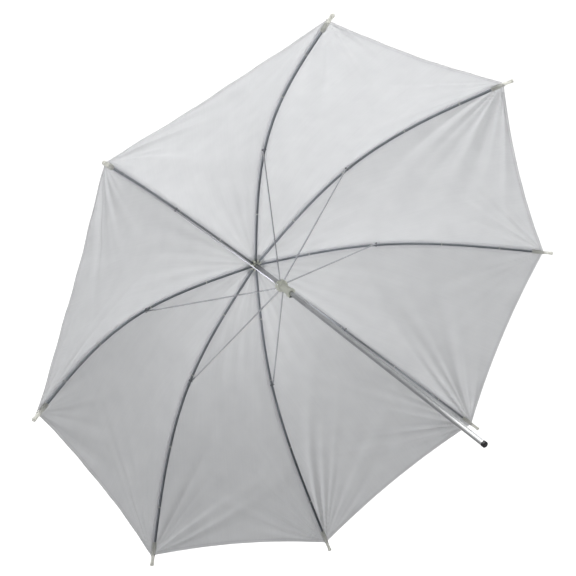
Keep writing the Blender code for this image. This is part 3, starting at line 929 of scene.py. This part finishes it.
def build_tip(number, plastic_white, thread_white):
    """The moulded tip on a rib's end: a ribbed socket, a neck, a bead, and a hollow end."""
    place, side, up, onward = rib_end_frame(number)
    nose, socket = TIP_NOSE_RADIUS, TIP_RADIUS
    profile = [(TIP_BORE, -TIP_SOCKET), (socket - 0.3 * MM, -TIP_SOCKET),
               (socket, -TIP_SOCKET + 0.4 * MM)]
    for i in range(3):
        start = (-6.5 + 2.2 * i) * MM
        profile += [(socket, start), (socket - 0.35 * MM, start + 0.4 * MM),
                    (socket - 0.35 * MM, start + 0.9 * MM), (socket, start + 1.3 * MM)]
    profile += [(socket, 2.6 * MM), (socket - 0.1 * MM, 3 * MM), (nose + 0.1 * MM, 6.6 * MM),
                (nose, 7.4 * MM), (nose, 22 * MM), (nose + 0.35 * MM, 22.8 * MM),
                (nose + 0.35 * MM, TIP_LENGTH - 1 * MM), (nose, TIP_LENGTH - 0.2 * MM),
                (nose - 0.4 * MM, TIP_LENGTH), (1.1 * MM, TIP_LENGTH),
                (1.0 * MM, TIP_LENGTH - 0.4 * MM), (1.0 * MM, TIP_LENGTH - 7 * MM),
                (0, TIP_LENGTH - 7 * MM)]
    bore = [(0, -0.2 * MM), (TIP_BORE, -0.2 * MM)]
    tip = turned(f"tip_{number}", bore + profile, place, onward, plastic_white, 32)
    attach(tip, f"rib_{number}_end")
    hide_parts(f"rib_tip_{number}")
    turns, steps, pitch = 5, 16, 0.5 * MM
    path = []
    for i in range(turns * steps + 1):
        angle = 2 * math.pi * i / steps
        radius = nose + THREAD_RADIUS
        lift = 1.25 * MM * max(0, math.sin(angle)) ** 2
        path.append(
            place + onward * (8.6 * MM + pitch * i / steps)
            + side * radius * math.cos(angle) + up * (radius * math.sin(angle) + lift)
        )
    wound = thread(f"tip_tie_{number}", path, THREAD_RADIUS, thread_white)
    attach(wound, f"rib_{number}_end")


# ---------------------------------------------------------------- stage

def build_camera():
    data = bpy.data.cameras.new("camera")
    data.lens = CAMERA_LENS
    data.sensor_width = 36
    data.clip_start = 0.01
    camera = link("camera", data)
    look = (CAMERA_AIM - CAMERA_PLACE).to_track_quat("-Z", "Y")
    camera.rotation_mode = "QUATERNION"
    camera.rotation_quaternion = look @ Quaternion((0, 0, 1), CAMERA_ROLL)
    camera.location = CAMERA_PLACE
    bpy.context.scene.camera = camera


def area_light(name, place, size, power, color):
    data = bpy.data.lights.new(name, "AREA")
    data.shape = "RECTANGLE"
    data.size, data.size_y = size
    data.energy = power
    data.color = color
    aim_light(link(name, data), place, LIGHT_AIM)


def aim_light(light, place, aim):
    light.location = place
    light.rotation_mode = "QUATERNION"
    light.rotation_quaternion = (Vector(aim) - Vector(place)).to_track_quat("-Z", "Y")


def build_floor():
    """A light grey floor far below, which glows where it lies behind the umbrella."""
    shape = bmesh.new()
    bmesh.ops.create_grid(shape, x_segments=8, y_segments=8, size=FLOOR_SIZE)
    bmesh.ops.translate(shape, verts=shape.verts, vec=(0, 0, FLOOR_LEVEL))
    ground = Nodes("floor_white")
    ground.set(Roughness=0.9, Specular_IOR_Level=0.1, Emission_Color=(1, 1, 1, 1))
    ground.join(ground.ramp(ground.noise(0.6, 2), (0.58, 0.58, 0.58), (0.61, 0.61, 0.61)),
                ground.shader.inputs["Base Color"])
    place = ground.add("ShaderNodeSeparateXYZ")
    ground.join(ground.add("ShaderNodeTexCoord").outputs["Object"], place.inputs[0])
    glow = FLOOR_GLOW
    for axis, dark, lit in (("X", FLOOR_DARK_X, FLOOR_LIT_X), ("Y", FLOOR_DARK_Y, FLOOR_LIT_Y)):
        edge = ground.add("ShaderNodeMapRange", interpolation_type="SMOOTHSTEP")
        edge.inputs["From Min"].default_value = dark
        edge.inputs["From Max"].default_value = lit
        ground.join(place.outputs[axis], edge.inputs["Value"])
        glow = ground.math("MULTIPLY", edge.outputs["Result"], glow)
    ground.join(glow, ground.shader.inputs["Emission Strength"])
    finish_shape("floor", shape, ground.material)


def build_world():
    """Light from behind and above the umbrella, and a paler band round the horizon."""
    world = bpy.data.worlds.new("studio")
    bpy.context.scene.world = world
    world.use_nodes = True
    tree = world.node_tree
    background = tree.nodes["Background"]
    background.inputs["Color"].default_value = (1, 1, 1, 1)
    where = tree.nodes.new("ShaderNodeTexCoord").outputs["Generated"]

    def step(kind, operation, value, other=None):
        node = tree.nodes.new(kind)
        node.operation = operation
        tree.links.new(value, node.inputs[0])
        if isinstance(other, bpy.types.NodeSocket):
            tree.links.new(other, node.inputs[1])
        elif other is not None:
            node.inputs[1].default_value = other
        return node.outputs["Value"]

    side = Vector(WORLD_BRIGHT_SIDE).normalized()
    lobe = step("ShaderNodeVectorMath", "DOT_PRODUCT", where, side)
    lobe = step("ShaderNodeMath", "POWER", step("ShaderNodeMath", "MAXIMUM", lobe, 0.0),
                WORLD_BRIGHT_NARROW)
    lobe = step("ShaderNodeMath", "MULTIPLY", lobe, WORLD_BRIGHT)
    height = step("ShaderNodeVectorMath", "DOT_PRODUCT", where, Vector((0, 0, 1)))
    band = step("ShaderNodeMath", "POWER", height, 2.0)
    band = step("ShaderNodeMath", "MULTIPLY", band, -WORLD_BAND_NARROW)
    band = step("ShaderNodeMath", "EXPONENT", band)
    band = step("ShaderNodeMath", "MULTIPLY", band, WORLD_BAND)
    total = step("ShaderNodeMath", "ADD", lobe, band)
    tree.links.new(total, background.inputs["Strength"])


def build_stage():
    build_floor()
    build_world()
    for light in LIGHTS:
        area_light(*light)
    spot = bpy.data.lights.new("hub_spot", "SPOT")
    spot.energy = HUB_POWER
    spot.spot_size = HUB_SPOT_SPREAD
    spot.spot_blend = 1.0
    spot.shadow_soft_size = HUB_SPOT_SOFT
    aim_light(link("hub_spot", spot), HUB_SPOT_PLACE, HUB_SPOT_AIM)
    bpy.context.scene.view_settings.view_transform = "Standard"


# ---------------------------------------------------------------- the whole scene

def main():
    build_camera()
    build_stage()
    build_canopy()
    rib_steel = metal("rib_steel", (0.50, 0.52, 0.55), (0.42, 0.44, 0.47), 0.3)
    bright = metal("stretcher_steel", (0.72, 0.72, 0.75), (0.62, 0.62, 0.65), 0.18)
    shaft = metal("shaft_steel", (0.47, 0.475, 0.48), (0.42, 0.425, 0.43), 0.2, 0.15)
    pins = metal("pin_steel", (0.30, 0.30, 0.31), (0.22, 0.22, 0.23), 0.35)
    spring = metal("spring_steel", (0.30, 0.30, 0.30), (0.22, 0.22, 0.22), 0.3)
    ivory = plastic("ivory_plastic", (0.95, 0.96, 0.89), (0.90, 0.91, 0.84), 0.42, 0.5)
    tip_white = plastic("tip_plastic", (0.95, 0.95, 0.92), (0.91, 0.91, 0.87), 0.4, 0.72)
    black = plastic("cap_black", (0.012, 0.012, 0.013), (0.02, 0.02, 0.021), 0.35)
    cotton = thread_cotton("thread_cotton")
    for number in range(1, RIB_COUNT + 1):
        build_rib(number, rib_steel)
        build_tip(number, tip_white, cotton)
        for index, along in enumerate(TIES_ALONG, 1):
            rib_tie(number, index, along, cotton)
        paint(bright, f"stretcher_{number}")
        paint(pins, f"rivet_{number}")
    paint(shaft, "shaft_tube")
    paint(pins, "crown_wire", "crown_pin", "runner_wire")
    paint(ivory, "crown", "apex_washer", "top_cap", "runner")
    paint(spring, "catch_spring")
    paint(black, "end_cap")


main()
